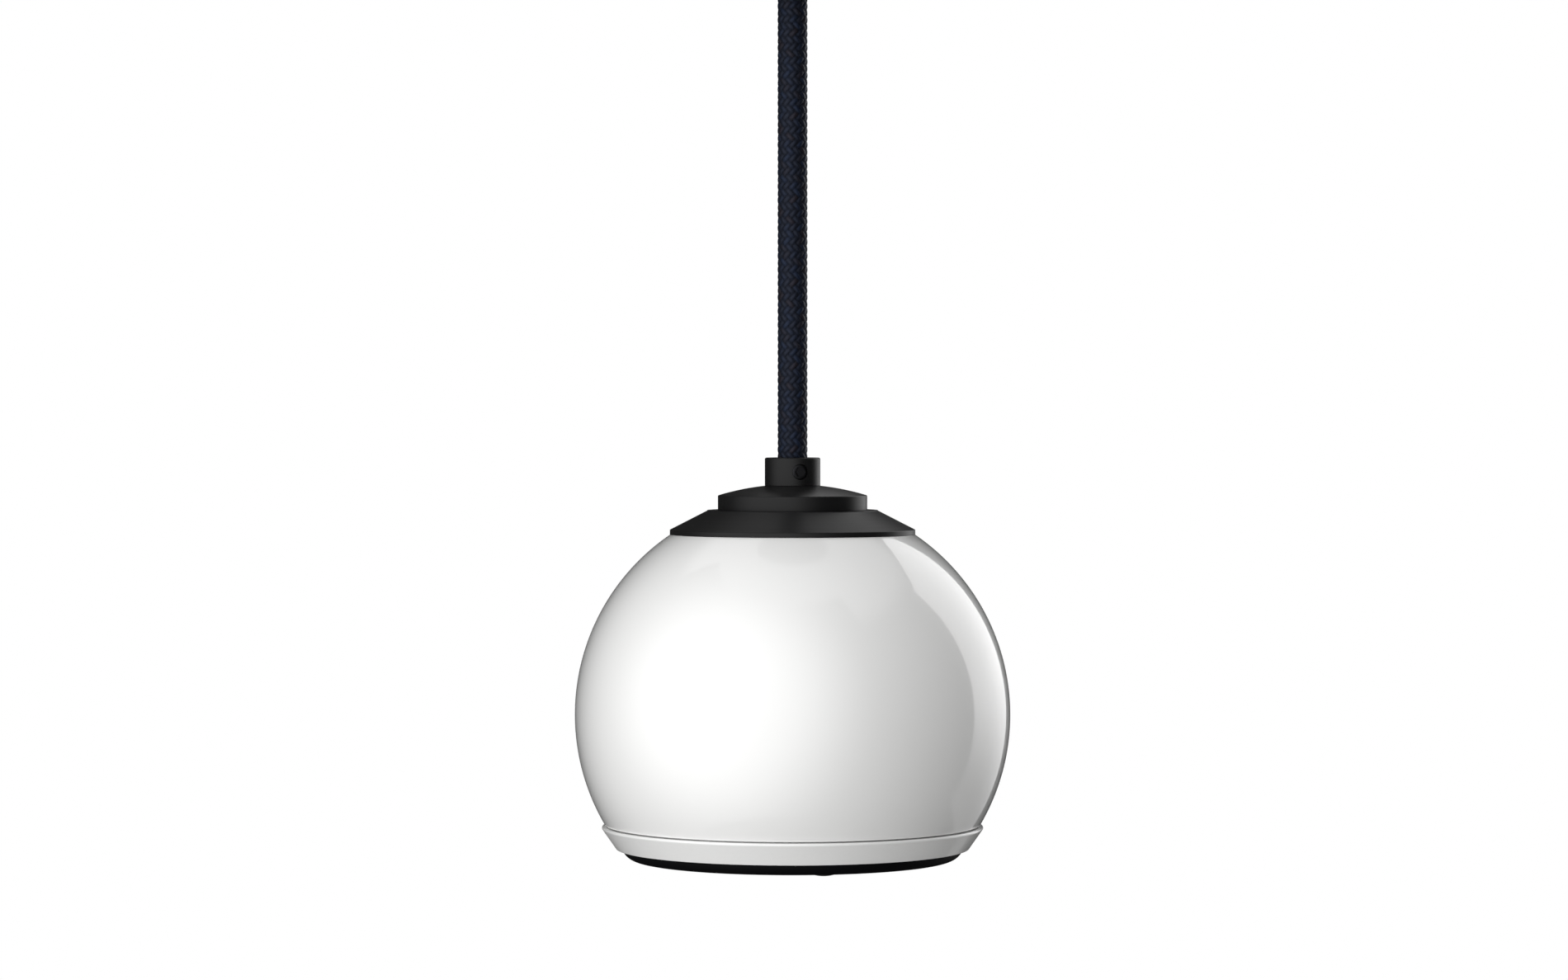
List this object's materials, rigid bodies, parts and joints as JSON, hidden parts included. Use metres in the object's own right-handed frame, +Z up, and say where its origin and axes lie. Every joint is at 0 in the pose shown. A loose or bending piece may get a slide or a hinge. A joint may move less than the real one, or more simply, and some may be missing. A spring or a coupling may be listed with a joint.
{
  "type": "pendant speaker",
  "caption": "Ball-shaped pendant loudspeaker that hangs on a taut round textile cable from a ceiling cup, with a black cap on top and a downward perforated grille.",
  "frame": {"origin": "on the ceiling, at the middle of the fixing bracket's slots", "axes": "+Z up towards the ceiling, along the cable; the speaker hangs in -Z and its front faces -Y; the bracket's slots lie along X"},
  "size_m": [0.102, 0.102, 0.2404],
  "materials": {
    "cup_black": "satin black powder coat",
    "strap_zinc": "zinc plated folded steel",
    "screw_black": "black oxide steel",
    "screw_zinc": "zinc plated steel",
    "grip_black": "satin black turned metal",
    "cap_black": "satin black spun metal",
    "braid_blue_black": "braided textile over a round cable",
    "core_brown": "insulated core",
    "core_blue": "insulated core",
    "block_white": "moulded block",
    "brass": "turned brass",
    "gasket_rubber": "foam rubber",
    "shell_white": "high gloss white lacquer on spun steel",
    "ring_white": "high gloss white moulding",
    "felt_grey": "needled felt",
    "grille_black": "satin black perforated steel",
    "badge_black": "plain satin black button",
    "basket_black": "black pressed steel",
    "magnet_ferrite": "ferrite",
    "yoke_zinc": "yellow zinc plated steel",
    "surround_rubber": "thin butyl rubber",
    "spider_cloth": "resin stiffened corrugated cloth",
    "former_foil": "thin foil tube",
    "coil_copper": "enamelled copper wire",
    "cone_paper": "black pulp paper",
    "strip_board": "phenolic board",
    "tinsel_braid": "tinned tinsel braid"
  },
  "bodies": {
    "housing": {"ceiling_bracket": "strap_zinc", "ceiling_cup": "cup_black", "cup_screws": "screw_black", "ceiling_grip": "grip_black", "grip_screw": "screw_black", "grip_locknut": "screw_zinc", "terminal_block": "block_white", "terminal_screws": "brass", "block_screw": "screw_zinc", "top_core_positive": "core_brown", "top_core_negative": "core_blue", "hanging_cable": "braid_blue_black", "cable_collar": "grip_black", "collar_screw": "screw_black", "cap_dome": "cap_black", "cap_flange": "cap_black", "top_gasket": "gasket_rubber", "inner_washer": "screw_zinc", "inner_nut": "screw_zinc", "cable_stop": "screw_zinc", "shell": "shell_white", "damping_felt": "felt_grey", "front_ring": "ring_white", "grille": "grille_black", "grille_badge": "badge_black", "driver_gasket": "gasket_rubber", "basket": "basket_black", "driver_screws": "screw_black", "top_plate": "yoke_zinc", "magnet": "magnet_ferrite", "yoke": "yoke_zinc", "spider": "spider_cloth", "surround": "surround_rubber", "terminal_strip": "strip_board", "solder_tags": "brass", "tinsel_positive": "tinsel_braid", "tinsel_negative": "tinsel_braid", "lead_positive": "core_brown", "lead_negative": "core_blue"},
    "diaphragm": {"coil_former": "former_foil", "voice_coil": "coil_copper", "cone": "cone_paper", "dust_cap": "cone_paper"}
  },
  "joints": [
    {"name": "cone_travel", "type": "slide", "parent": "housing", "child": "diaphragm", "axis": [0, 0, 1], "range_m": [-0.002, 0.002], "stiffness_N_per_m": 1000, "deforming": ["surround", "spider", "tinsel_positive", "tinsel_negative"]}
  ]
}
